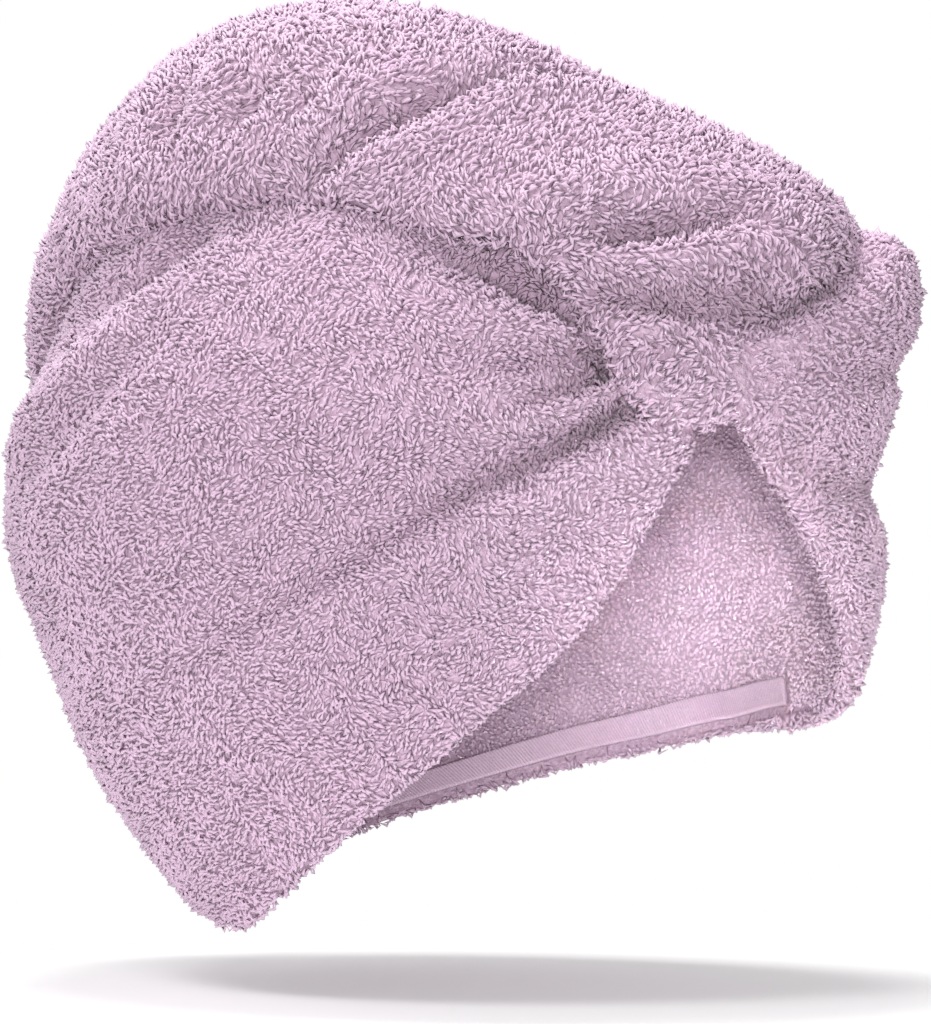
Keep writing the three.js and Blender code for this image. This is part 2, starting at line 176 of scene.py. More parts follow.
def from_map(side, place):
    """The direction at a place of the flat map."""
    far = np.linalg.norm(place, axis=-1)
    away = np.radians(far)
    share = np.sin(away) / np.maximum(far, 1e-9)
    sideways = OUTWARDS[side] * np.cos(away)
    return np.stack([sideways, -place[..., 0] * share, place[..., 1] * share], -1)


def spline(points, t):
    """Catmull-Rom curve through points, its ends carried on straight, at shares t of its spans."""
    p = np.asarray(points, float)
    p = np.concatenate([p[:1], p, p[-1:]])
    k = np.clip(t, 0, 1) * (len(p) - 3)
    i = np.minimum(k.astype(int), len(p) - 4)
    f = (k - i)[:, None]
    a, b, c, d = p[i], p[i + 1], p[i + 2], p[i + 3]
    return b + 0.5 * f * (c - a + f * (2 * a - 5 * b + 4 * c - d + f * (3 * (b - c) + d - a)))


def along(points, t):
    """The same curve at shares t of its length."""
    fine = spline(points, np.linspace(0, 1, 201))
    gone = np.concatenate([[0], np.cumsum(np.linalg.norm(np.diff(fine, axis=0), axis=1))])
    return np.stack([np.interp(t * gone[-1], gone, fine[:, k]) for k in range(fine.shape[1])], -1)


def dome_radius(n):
    """From the middle of the head to the bare dome of cloth: an ellipsoid that reaches less far
    in front than behind, and less far up than down."""
    deep = np.where(n[..., 1] < 0, HEAD_FRONT, HEAD_BACK) + CLOTH
    tall = np.where(n[..., 2] > 0, HEAD_TOP, HEAD_BELOW) + CLOTH
    wide = HEAD_WIDTH / 2 + CLOTH
    return 1 / np.sqrt((n[..., 0] / wide) ** 2 + (n[..., 1] / deep) ** 2 + (n[..., 2] / tall) ** 2)


def rise(place, path, heights, wide):
    """Height of one fold: the share at the nearest point of its path, falling off as a bell over
    the flank on either side and past the ends. wide is the reach left and right of the path."""
    best = np.full(place.shape[:-1], np.inf)
    share, across, over = np.zeros_like(best), np.zeros_like(best), np.zeros_like(best)
    spans = len(path) - 1
    for i in range(spans):
        chord = path[i + 1] - path[i]
        long = np.hypot(*chord)
        offset = place - path[i]
        free = offset @ chord / long**2
        held = np.clip(free, 0, 1)
        away = np.linalg.norm(offset - held[..., None] * chord, axis=-1)
        side = (chord[0] * offset[..., 1] - chord[1] * offset[..., 0]) / long
        past = ((free < 0) & (i == 0)) | ((free > 1) & (i == spans - 1))
        near = away < best
        best = np.where(near, away, best)
        share = np.where(near, (i + held) / spans, share)
        across = np.where(near, np.where(past, side, np.sign(side) * away), across)
        over = np.where(near, np.where(past, np.abs(free - held) * long, 0), over)
    flank = np.where(across > 0, wide[0], wide[1]) * FOLD_WIDTH
    height = np.interp(share, (0, 0.5, 1), heights) * FOLD_HEIGHT
    return height * np.exp(-((across / flank) ** 2) - (over / flank) ** 2)


def drawn(side, fold):
    """A fold with its path drawn on the map in metres of cloth, its first flank above the path."""
    stations = to_map(side, direction(*np.array(fold["path"], float).T))
    path = spline(stations, np.linspace(0, 1, 13)) * SPREAD
    wide = fold["wide"] if path[-1, 0] > path[0, 0] else fold["wide"][::-1]
    return path, fold["heights"], wide


def panel_bells(side, place):
    """Heights of each fold and crease of a panel at places of its map, in metres."""
    return [rise(place, *drawn(side, fold)) for fold in FOLDS[side] + CREASES[side]]


def panel_radius(side, n):
    """Outer face of a panel: the dome, with bells for its puffs, folds and creases on the map."""
    lon = np.degrees(np.arctan2(n[..., 0], -n[..., 1]))
    lat = np.degrees(np.arcsin(np.clip(n[..., 2], -1, 1)))
    radius = dome_radius(n)
    for puff in PUFFS[side]:
        across = (lon - puff["lon"]) * np.cos(np.radians(lat)) / puff["across"]
        up = (lat - puff["lat"]) / puff["up"]
        radius = radius + puff["height"] * PUFF_HEIGHT * np.exp(-(across**2) - up**2)
    for bell in panel_bells(side, to_map(side, n) * SPREAD):
        radius = radius + bell
    return radius


def shade_of(bells):
    """Painted shade of loops down in creases, 0 to 1, which darkens their colour towards the
    root colour: the depth of all hollows there over SHADE_DEPTH."""
    return np.clip(sum(np.maximum(-bell, 0) for bell in bells) / SHADE_DEPTH, 0, 1)


def panel_shade(side, points):
    """Painted shade of places of a panel, from those of its folds and creases that are hollows."""
    return shade_of(panel_bells(side, to_map(side, unit(points - head_middle)) * SPREAD))


def panel_layout(side):
    """The two stretches of a panel's lower edge on the map, and the share at its front corner."""
    front, neck = (to_map(side, direction(*np.array(EDGES[side][k], float).T))
                   for k in ("front", "neck"))
    lengths = [np.linalg.norm(np.diff(spline(e, np.linspace(0, 1, 201)), axis=0), axis=1).sum()
               for e in (front, neck)]
    return front, neck, lengths[0] / sum(lengths)


KNOT_CURL = 0.15                # share of the panel over which its edges curl round the knot


def panel_edges(side, u):
    """Places of the lower and the upper edge on the map at shares u from the knot to the nape."""
    front, neck, corner = panel_layout(side)
    lower = np.where((u < corner)[:, None], along(front, np.clip(u / corner, 0, 1)),
                     along(neck, np.clip((u - corner) / (1 - corner), 0, 1)))
    far = np.linalg.norm(lower, axis=-1, keepdims=True)
    lower = lower * np.minimum(1, SEAM_AWAY / far)
    turn = np.radians(SEAM_TURNS[0] + (SEAM_TURNS[1] - SEAM_TURNS[0]) * u)
    return lower, np.stack([np.cos(turn), np.sin(turn)], -1) * SEAM_AWAY


def panel_places(side, u, v):
    """Places on the map, rows over u and columns over v from the lower edge to the upper one."""
    lower, upper = panel_edges(side, u)
    v = np.broadcast_to(v, (len(u), np.shape(v)[-1]))
    place = lower[:, None] + (upper - lower)[:, None] * v[..., None]
    curl = KNOT_RADIUS / SPREAD * np.sin(np.pi * v) * (1 - smooth(0, KNOT_CURL, u))[:, None]
    return place - np.stack([curl, np.zeros_like(curl)], -1)


def across_length(side, u):
    """Metres of cloth from the lower edge to the upper one."""
    lower, upper = panel_edges(side, u)
    return np.linalg.norm(upper - lower, axis=-1) * SPREAD


def cloth_at(side, u, v):
    """Thickness with its pile: doubled along the face, thinning out past the front corner."""
    low, high = (share * BORDER_WIDTH for share in BORDER_FADE)
    edge = 1 - smooth(low, high, v * across_length(side, u)[:, None])
    corner = panel_layout(side)[2]
    beyond = smooth(corner, corner + BORDER_END, u)
    return CLOTH + (BORDER_CLOTH - CLOTH) * edge * (1 - beyond)[:, None]


def level(side, u, v, height):
    """Points of a panel at a height over its outer face."""
    n = from_map(side, panel_places(side, u, v))
    return n * (panel_radius(side, n) + height)[..., None] + head_middle


def normals(points):
    """Unit normals of a grid of points, from its central differences, pointing off the head."""
    n = np.cross(np.gradient(points, axis=0), np.gradient(points, axis=1))
    n = unit(n)
    return n * np.sign((n * (points - head_middle)).sum())


def add_attribute(mesh, label, values):
    """A number for each vertex, which materials read by its name."""
    made = mesh.attributes.new(label, "FLOAT", "POINT")
    made.data.foreach_set("value", values.astype(np.float32))


def mesh_of(name, points, triangles, uv, attributes=()):
    """A smooth mesh from arrays: points, triangles by index and a UV pair for each corner."""
    mesh = bpy.data.meshes.new(name)
    mesh.vertices.add(len(points))
    mesh.vertices.foreach_set("co", points.astype(np.float32).ravel())
    mesh.loops.add(triangles.size)
    mesh.loops.foreach_set("vertex_index", triangles.astype(np.int32).ravel())
    mesh.polygons.add(len(triangles))
    mesh.polygons.foreach_set("loop_start", np.arange(0, triangles.size, 3, dtype=np.int32))
    mesh.polygons.foreach_set("use_smooth", np.ones(len(triangles), bool))
    mesh.uv_layers.new(name="OFBake").data.foreach_set("uv", uv.astype(np.float32).ravel())
    for label, values in attributes:
        add_attribute(mesh, label, values)
    mesh.update(calc_edges=True)
    mesh.validate()
    piece = bpy.data.objects.new(name, mesh)
    bpy.context.scene.collection.objects.link(piece)
    return piece


def quads(rows, columns, ring=False):
    """Two triangles for each cell of a grid, and their UV pairs; ring joins the last column to
    the first."""
    wide = columns if ring else columns - 1
    i, j = (x.ravel() for x in np.meshgrid(np.arange(rows - 1), np.arange(wide), indexing="ij"))
    corners = ((0, 0), (1, 0), (1, 1)), ((0, 0), (1, 1), (0, 1))

    def at(di, dj):
        return (i + di) * columns + (j + dj) % columns

    def uv(di, dj):
        return np.stack([(j + dj) / wide, (i + di) / (rows - 1)], -1)

    faces = np.concatenate([np.stack([at(*c) for c in three], -1) for three in corners])
    pairs = np.concatenate([np.stack([uv(*c) for c in three], 1) for three in corners])
    return faces, pairs


def outwards(points, faces, pairs):
    """The faces of a closed mesh turned to point outwards, by the sign of its volume."""
    a, b, c = (points[faces[:, k]] for k in range(3))
    if (a * np.cross(b, c)).sum() < 0:
        return faces[:, ::-1], pairs[:, ::-1]
    return faces, pairs


def with_caps(faces, pairs, caps):
    """Faces and UV pairs with those of the caps added, which all lie at the map's corner."""
    return np.concatenate([faces, caps]), np.concatenate([pairs, np.zeros((len(caps), 3, 2))])


PANEL_ROWS, PANEL_COLUMNS, RIM_COLUMNS = 140, 70, 7
CROWD = 1.3                     # rows crowd towards the knot, where folds are close together


def panel_section(side):
    """Grids of the ground weave, rows along the panel and columns from the seam down its outer
    face, round the rolled rim, and up its inner face. The rim is a half circle as wide as the
    cloth is thick."""
    u = np.linspace(0, 1, PANEL_ROWS) ** CROWD
    v = np.linspace(0, 1, PANEL_COLUMNS)
    thick = cloth_at(side, u, v)
    outer = level(side, u, v, -PILE_DEPTH)
    inner = level(side, u, v, -(thick - PILE_DEPTH * LINING_DEPTH))
    # the rim takes up half the thickness at the lower edge
    middle = (outer[:, 0] + inner[:, 0]) / 2
    off = outer[:, 0] - middle
    half = np.linalg.norm(off, axis=-1, keepdims=True)
    down = outer[:, 0] - outer[:, 1]
    down = unit(down - off * (down * off).sum(-1, keepdims=True) / half**2)
    turn = np.linspace(0, np.pi, RIM_COLUMNS + 2)[1:-1]
    rim = (middle[:, None] + off[:, None] * np.cos(turn)[None, :, None]
           + (down * half)[:, None] * np.sin(turn)[None, :, None])
    return outer, rim, inner


def closed_cloth(name, outer, rim, inner):
    """A closed sheet whose section is a loop: outer face, rim, inner face and back at the seam.
    Both ends are closed across, outer face to inner face."""
    ring = np.concatenate([outer[:, ::-1], rim, inner], 1)
    rows, columns = ring.shape[:2]
    faces, pairs = quads(rows, columns, ring=True)
    j = np.arange(columns // 2)
    ends = []
    for row, turned in ((0, 1), (rows - 1, -1)):
        near, far = row * columns + j, row * columns + columns - 1 - j
        strip = np.concatenate([np.stack([near[:-1], near[1:], far[1:]], -1),
                                np.stack([near[:-1], far[1:], far[:-1]], -1)])
        ends.append(strip[(strip[:, 0] != strip[:, 1]) & (strip[:, 1] != strip[:, 2])][:, ::turned])
    points = ring.reshape(-1, 3)
    faces, pairs = with_caps(faces, pairs, np.concatenate(ends))
    faces, pairs = outwards(points - head_middle, faces, pairs)
    cloth = mesh_of(name, points, faces, pairs)
    inside = (faces % columns).min(1) >= columns - inner.shape[1]
    cloth.data.polygons.foreach_set("material_index", inside.astype(np.int32))
    return cloth


WAVES, WAVES_REACH = 12, 3.5    # how many sine waves are added, and how high their sum goes
WAVES_PACE = (0.6, 1.5)


def waves(seed, size, points):
    """Smooth noise from about -1 to 1 and about size metres across: the sum of seeded sine waves
    that run every way, over its reach."""
    draw = np.random.default_rng(seed)
    ways = unit(draw.normal(size=(WAVES, 3)))
    ways *= 2 * np.pi / size * draw.uniform(*WAVES_PACE, (WAVES, 1))
    return np.sin(points @ ways.T + draw.uniform(0, 2 * np.pi, WAVES)).sum(-1) / WAVES_REACH


# The loops of pile
# Terry pile is soft yarn that stands out of the ground weave in loops, each fallen over to one
# side. A loop is a short plump tube, bent sideways and arched over the weave with both ends in it.
LOOP_SIDES = 3
LOOP_FLAT = (1.2, 0.9)          # a loop's half width and half height as shares of its radius
LOOP_LENGTHS, LOOP_RADII, LOOP_HEIGHTS = (0.7, 1.35), (0.82, 1.18), (0.55, 1.4)
LOOP_TURN, LOOP_BEND, LOOP_TILT = 0.42, 0.34, 0.35      # how far loops stray, by spread
LOOP_SINK = 0.2 * MM            # both ends lie this deep in the weave
BEND_BACK, TILT_SHARE = 0.4, 0.6
DRIFT_SHARE, DRIFT_RATIO = 0.6, 2.6     # a second, finer drift over the first
CLUMP_SIZE, CLUMP_SHARE = 0.0055, 0.45  # clumps of taller loops
UV_INSET = 0.08                 # of a loop's cell on the map left free on each side
SEEDS = dict(drift=11, fine_drift=12, clump=13, outer=21, lining=22, tail=23)
SEQUENCE = (0.7548776662466927, 0.5698402909980532)     # powers of one over the plastic number
JITTER = 0.3


def loop_template():
    """Triangles of one loop, a ring of corners between two tips, and their UV pairs."""
    k = np.arange(LOOP_SIDES)
    following = (k + 1) % LOOP_SIDES
    left, middle, right = k / LOOP_SIDES, (k + 0.5) / LOOP_SIDES, (k + 1) / LOOP_SIDES

    def flat(value):
        return np.full(LOOP_SIDES, value)

    def pair(x, y):
        return np.stack([x, flat(y)], -1)

    last = 1 + LOOP_SIDES
    faces = [np.stack([flat(0), 1 + following, 1 + k], -1),
             np.stack([flat(last), 1 + k, 1 + following], -1)]
    pairs = [np.stack([pair(middle, 0.0), pair(right, 0.5), pair(left, 0.5)], 1),
             np.stack([pair(middle, 1.0), pair(left, 0.5), pair(right, 0.5)], 1)]
    return np.concatenate(faces), np.concatenate(pairs)


def scatter(grid, per_area, seed):
    """Places spread evenly over a grid of points: a two-number golden sequence, jittered, taken
    through the running sum of the cells' areas. Gives points, normals and the lengthwise way."""
    n = normals(grid)
    across, down = np.diff(grid, axis=1)[:-1], np.diff(grid, axis=0)[:, :-1]
    area = np.linalg.norm(np.cross(across, down), axis=-1)
    count = int(area.sum() * per_area)
    draw = np.random.default_rng(seed)
    k = np.arange(count)
    jitter = draw.uniform(-JITTER, JITTER, (2, count)) / np.sqrt(count)
    a = (k * SEQUENCE[0] + jitter[0]) % 1
    b = (k * SEQUENCE[1] + jitter[1]) % 1
    row_sums = np.concatenate([[0], area.sum(1).cumsum()])
    where = np.interp(a * row_sums[-1], row_sums, np.arange(len(row_sums)))
    i = np.minimum(where.astype(int), area.shape[0] - 1)
    flat = area.ravel().cumsum()
    target = row_sums[i] + b * area.sum(1)[i]
    cell = np.clip(np.searchsorted(flat, target), i * area.shape[1], (i + 1) * area.shape[1] - 1)
    j = cell - i * area.shape[1]
    f = (where - i)[:, None]
    g = (1 - np.clip((flat[cell] - target) / np.maximum(area.ravel()[cell], 1e-12), 0, 1))[:, None]

    def mixed(values):
        return ((values[i, j] * (1 - g) + values[i, j + 1] * g) * (1 - f)
                + (values[i + 1, j] * (1 - g) + values[i + 1, j + 1] * g) * f)

    way = np.gradient(grid, axis=0)
    return SimpleNamespace(at=mixed(grid), up=unit(mixed(n)), way=unit(mixed(way)),
                           row=where / area.shape[0], column=(j + g[:, 0]) / area.shape[1], draw=draw)


def pile(name, places, length, radius, height, lean, swirl, combed=0, shade=0):
    """Loops at the places. Each lies at the angle combed to the rows, turned in drifts about
    swirl metres across, bends sideways as a parabola and arches over the weave as one; lean is
    the drift's strength in radians, and shade is painted shade, 0 to 1, that darkens the colour of
    loops lying in a crease towards the root colour."""
    draw, count = places.draw, len(places.at)
    drift = (waves(SEEDS["drift"], swirl, places.at)
             + DRIFT_SHARE * waves(SEEDS["fine_drift"], swirl / DRIFT_RATIO, places.at))
    angle = combed + lean * drift + draw.normal(0, LOOP_TURN, count)
    side = np.cross(places.up, places.way)
    heading = places.way * np.cos(angle)[:, None] + side * np.sin(angle)[:, None]
    aside = np.cross(places.up, heading)
    half = length / 2 * draw.uniform(*LOOP_LENGTHS, count)
    thick = radius * draw.uniform(*LOOP_RADII, count)
    clump = 1 + CLUMP_SHARE * waves(SEEDS["clump"], CLUMP_SIZE, places.at)
    tall = height * draw.uniform(*LOOP_HEIGHTS, count) * clump
    bend = half * draw.normal(0, LOOP_BEND, count)
    tilt = draw.normal(0, LOOP_TILT, count)

    def station(s):
        sideways = bend * (s * s - BEND_BACK)
        up = tall * (1 - s * s) - LOOP_SINK + tilt * half * s * TILT_SHARE
        return (places.at + heading * (half * s)[:, None] + aside * sideways[:, None]
                + places.up * up[:, None])

    near, middle, far = (station(s) for s in (-1.0, 0.0, 1.0))
    way = unit(far - near)
    flat = unit(np.cross(places.up, way))
    above = np.cross(way, flat)
    turn = 2 * np.pi * np.arange(LOOP_SIDES) / LOOP_SIDES + np.pi / 2
    ring = (flat[:, None] * (LOOP_FLAT[0] * np.cos(turn))[None, :, None]
            + above[:, None] * (LOOP_FLAT[1] * np.sin(turn))[None, :, None])
    ring = middle[:, None] + ring * thick[:, None, None]
    points = np.concatenate([near[:, None], ring, far[:, None]], 1)
    each = points.shape[1]
    faces, pairs = loop_template()
    all_faces = (faces[None] + each * np.arange(count)[:, None, None]).reshape(-1, 3)
    cells = int(np.ceil(np.sqrt(count)))
    corner = np.stack([np.arange(count) % cells, np.arange(count) // cells], -1)
    inside = UV_INSET + (1 - 2 * UV_INSET) * pairs
    all_pairs = ((corner[:, None, None] + inside[None]) / cells).reshape(-1, 3, 2)
    # painted shade: the tips, where the loops go into the weave, take the root colour; crest is 1 at
    # the ring
    crest = np.array([0] + [1] * LOOP_SIDES + [0])
    lift = ((1 - np.broadcast_to(shade, count))[:, None] * crest).ravel()
    tone = np.repeat(draw.uniform(0, 1, count), each)
    return mesh_of(name, points.reshape(-1, 3), all_faces, all_pairs,
                   [("lift", lift), ("tone", tone)])


def kept(places, mask):
    """The places where mask is true."""
    picked = {k: v[mask] for k, v in vars(places).items() if k != "draw"}
    return SimpleNamespace(**picked, draw=places.draw)


def nodes_of(name):
    """A new material with its nodes, its shader and a short way to add and join nodes."""
    material = bpy.data.materials.new(name)
    material.use_nodes = True
    tree = material.node_tree
    shader = tree.nodes["Principled BSDF"]

    def node(kind, inputs=(), **settings):
        made = tree.nodes.new(kind)
        for key, value in settings.items():
            setattr(made, key, value)
        for socket, value in dict(inputs).items():
            if isinstance(value, bpy.types.NodeSocket):
                tree.links.new(value, made.inputs[socket])
            else:
                made.inputs[socket].default_value = value
        return made

    return material, shader, node, tree.links.new


# PILE_ROOT is painted shade: the colour of the loops' ends down in the pile and of loops in creases
PILE_ROOT = (0.48, 0.33, 0.44, 1)
PILE_CREST = (0.65, 0.468, 0.612, 1)
PILE_DULL = (0.575, 0.403, 0.54, 1)


def pile_material(name, yarn, crest=PILE_CREST, dull=PILE_DULL, root=PILE_ROOT):
    """Looped cotton yarn: dyed lilac, with painted shade that darkens it towards the root colour
    at the loops' ends down in the pile and in creases, read from the attribute lift; each loop a
    little lighter or duller than the next, with the twist of its yarn as a fine bump of yarn metres."""
    material, shader, node, join = nodes_of(name)
    place = node("ShaderNodeTexCoord").outputs["Object"]
    lift = node("ShaderNodeAttribute", attribute_name="lift").outputs["Fac"]
    tone = node("ShaderNodeAttribute", attribute_name="tone").outputs["Fac"]
    drift = node("ShaderNodeTexNoise", {"Vector": place, "Scale": 22, "Detail": 3})
    uneven = node("ShaderNodeMath", {0: tone, 1: drift.outputs["Fac"]}, operation="MULTIPLY")
    yarn_colour = node("ShaderNodeMix", {"Factor": uneven.outputs[0], 6: crest, 7: dull},
                       data_type="RGBA")
    ramp = node("ShaderNodeMapRange", {"Value": lift, "From Min": 0.05, "From Max": 0.8},
                interpolation_type="SMOOTHSTEP")
    colour = node("ShaderNodeMix", {"Factor": ramp.outputs[0], 6: root, 7: yarn_colour.outputs[2]},
                  data_type="RGBA")
    join(colour.outputs[2], shader.inputs["Base Color"])
    fuzz = node("ShaderNodeTexNoise", {"Vector": place, "Scale": 1 / yarn, "Detail": 2})
    bump = node("ShaderNodeBump", {"Height": fuzz.outputs["Fac"], "Strength": 0.6,
                                   "Distance": yarn / 2})
    join(bump.outputs["Normal"], shader.inputs["Normal"])
    shader.inputs["Roughness"].default_value = 0.95
    shader.inputs["Sheen Weight"].default_value = 0.25
    shader.inputs["Sheen Roughness"].default_value = 0.6
    return material


def ground_material(name, low, high, grain):
    """The weave under the pile: a darker mauve than the yarn, painted shade for the shade of the
    loops over it, darker still where its bump lies low, with the roots of the loops as a bump
    about grain metres across."""
    material, shader, node, join = nodes_of(name)
    place = node("ShaderNodeTexCoord").outputs["Object"]
    roots = node("ShaderNodeTexNoise", {"Vector": place, "Scale": 1 / grain, "Detail": 3})
    ramp = node("ShaderNodeMapRange", {"Value": roots.outputs["Fac"], "From Min": 0.38,
                                       "From Max": 0.66})
    colour = node("ShaderNodeMix", {"Factor": ramp.outputs[0], 6: low, 7: high}, data_type="RGBA")
    join(colour.outputs[2], shader.inputs["Base Color"])
    bump = node("ShaderNodeBump", {"Height": roots.outputs["Fac"], "Distance": grain, "Strength": 0.8})
    join(bump.outputs["Normal"], shader.inputs["Normal"])
    shader.inputs["Roughness"].default_value = 1
    return material


# painted shade: both weaves are coloured darker than the yarn, for the shade between the loops
weave = ground_material("terry_ground", (0.42, 0.28, 0.38, 1), (0.6, 0.44, 0.56, 1), 1.6 * MM)
# painted light: the lining's weave is the same cloth, coloured lighter than the outside's for the light
# that falls into the hood
inner_weave = ground_material("terry_ground_inside", (0.5, 0.35, 0.46, 1), (0.68, 0.51, 0.64, 1),
                              1.2 * MM)
outer_pile = pile_material("terry_loops", 0.3 * MM)

# Sections of the tail that lies along the middle of the head, over the hood: turn over the
# crown in degrees, its shift to the wearer's left and its half width as shares of half its
# width, and its height as a share of its full height.
TAIL_WIDTH, TAIL_HEIGHT, TAIL_BED = 0.112, 0.032, 0.004
TAIL_SECTIONS = [
    dict(turn=11, side=0, wide=0.2, high=0.22),
    dict(turn=13, side=0.02, wide=0.34, high=0.42),
    dict(turn=16, side=0.04, wide=0.42, high=0.48),
    dict(turn=20, side=0.04, wide=0.46, high=0.52),
    dict(turn=22, side=0.08, wide=0.52, high=0.6),
    dict(turn=24, side=0.44, wide=0.88, high=0.88),
    dict(turn=30, side=0.66, wide=1.1, high=1.04),
    dict(turn=38, side=0.6, wide=1.16, high=0.92),
    dict(turn=50, side=0.3, wide=1.06, high=0.74),
    dict(turn=62, side=0.08, wide=0.94, high=0.68),
    dict(turn=74, side=-0.02, wide=0.92, high=0.78),
    dict(turn=86, side=-0.16, wide=0.96, high=0.93),
    dict(turn=104, side=-0.22, wide=0.98, high=1.08),
    dict(turn=126, side=-0.2, wide=0.92, high=0.96),
    dict(turn=150, side=-0.14, wide=0.8, high=0.86),
    dict(turn=174, side=-0.04, wide=0.6, high=0.7),
    dict(turn=196, side=0, wide=0.4, high=0.48),
]
TIP_TURN, TIP_HALF, TIP_THICK = 221, 0.013, 0.007
TIP_ROUND = 0.022               # the share of the length over which the tip rounds off
TIP_LEAST = dict(wide=0.1, high=0.4)    # what is left of it at the end
TAIL_CLEAR = 0.0003             # the tail lies at least this far over the hood's ground weave
EGG_POWER, FOLDS_FROM = 1.4, 0.4
BUTTON_TURN, BUTTON_RADIUS, BUTTON_THICK = 212, 0.011, 0.004
PRESS_TURN = 150                # the button presses the tail down only beyond this turn
PRESS_FADE = (0.001, 0.005)     # outside the button's rim
PRESS_RISE, TIP_SINK = 0.006, 0.0006
COVER_HIGH, COVER_RIM, COVER_ROWS, COVER_COLUMNS = 0.003, 8, 420, 240
TAIL_FOLDS = [
    dict(path=[(72, -0.9), (68.5, -0.6), (66, -0.3), (63.5, 0.1), (60, 0.5)],
         heights=(-0.4, -1, -0.6), wide=(0.5, 0.5)),
    dict(path=[(62, -0.6), (59.5, -0.2), (55, 0.3)], heights=(0.2, 0.45, 0.2), wide=(0.6, 0.9)),
    dict(path=[(44, -0.8), (42, -0.4), (40, 0.1)], heights=(0.4, 0.5, 0), wide=(1, 1.1)),
    dict(path=[(36, -0.34), (33.5, -0.1), (31.5, 0.3)],
         heights=(-0.3, -0.8, -0.5), wide=(0.45, 0.45)),
    dict(path=[(101, -0.55), (99, -0.85), (98.5, -1.05)], heights=(0, -0.5, -0.1), wide=(0.6, 0.6)),
    dict(path=[(83, -0.4), (87, -0.75), (87, -1)], heights=(0, -0.5, -0.1), wide=(0.6, 0.6)),
]
TAIL_CREASES = [
    dict(path=[(70, -0.78), (68.4, -0.6), (66.4, -0.36), (64.6, -0.07), (62, 0.3)],
         heights=(-0.4, -0.9, -0.6), wide=(0.34, 0.34)),
    dict(path=[(64, -0.62), (61.5, -0.38), (59, -0.1)], heights=(-0.2, -0.6, 0), wide=(0.32, 0.32)),
    dict(path=[(35, -0.3), (33.6, -0.13), (32, 0.06)],
         heights=(-0.35, -0.55, -0.3), wide=(0.27, 0.27)),
    dict(path=[(30, -0.4), (27, -0.28), (24.5, -0.06), (23.5, 0.25)],
         heights=(-0.6, -1.2, -0.8), wide=(0.45, 0.35)),
    dict(path=[(101, -0.75), (99, -0.95), (98.5, -1.1)], heights=(0, -0.7, 0), wide=(0.35, 0.35)),
    dict(path=[(84, -0.6), (87, -0.85), (87, -1)], heights=(0, -0.7, 0), wide=(0.35, 0.35)),
    dict(path=[(80, -0.5), (79.5, -0.7), (78, -0.85)], heights=(0, -0.6, 0), wide=(0.35, 0.35)),
    dict(path=[(112, -0.7), (114, -0.9), (116, -1.1)], heights=(0, -0.25, 0), wide=(0.45, 0.45)),
    dict(path=[(128, -0.5), (134, -0.75), (138, -1)], heights=(0, -0.3, 0), wide=(0.5, 0.5)),
    dict(path=[(92, -0.4), (94, -0.75), (93, -1)], heights=(0, 0.25, 0.1), wide=(0.5, 0.5)),
    dict(path=[(48, -0.7), (46, -0.3), (44, 0.2)], heights=(-0.1, -0.2, 0), wide=(0.5, 0.5)),
]


def tail_path(fold):
    """The path of a fold of the tail on its flat map, in metres along and across."""
    path = [(turn * SPREAD, share * TAIL_WIDTH / 2) for turn, share in fold["path"]]
    return spline(path, np.linspace(0, 1, 13))


def tail_bells(place):
    """Heights of each fold and crease of the tail at places of its map, in metres."""
    return [rise(place, tail_path(fold), fold["heights"], fold["wide"])
            for fold in TAIL_FOLDS + TAIL_CREASES]


def tail_folds(turn, across):
    """Height of the folds and creases of the tail at places on its flat map."""
    return sum(tail_bells(np.stack(np.broadcast_arrays(turn * SPREAD, across), -1)))


def tail_section(share):
    """Turn, side shift, half width and height of the tail at shares of its length. The last
    part is narrowed as a quarter of a circle, so that the tip ends round."""
    half = TAIL_WIDTH / 2
    rows = [(row["turn"], row["side"] * half, row["wide"] * half, row["high"] * TAIL_HEIGHT)
            for row in TAIL_SECTIONS]
    tip = (0, TIP_HALF, TIP_THICK + TAIL_BED)
    rows += [((TIP_TURN + TAIL_SECTIONS[-1]["turn"]) / 2, *tip), (TIP_TURN, *tip)]
    turn, side, wide, high = spline(rows, share).T
    gone = 1 - np.sqrt(1 - np.clip((share - 1 + TIP_ROUND) / TIP_ROUND, 0, 1)**2)
    return np.array([turn, side, wide * (1 - (1 - TIP_LEAST["wide"]) * gone),
                     high * (1 - (1 - TIP_LEAST["high"]) * gone)])


def overhead(turn):
    """Direction in the middle plane of the head; turn rises from the face over the crown."""
    return direction(0, turn)


def hood_radius(n):
    """Outer face of whichever panel lies in a direction."""
    return np.where(n[..., 0] < 0, panel_radius("right", n), panel_radius("left", n))


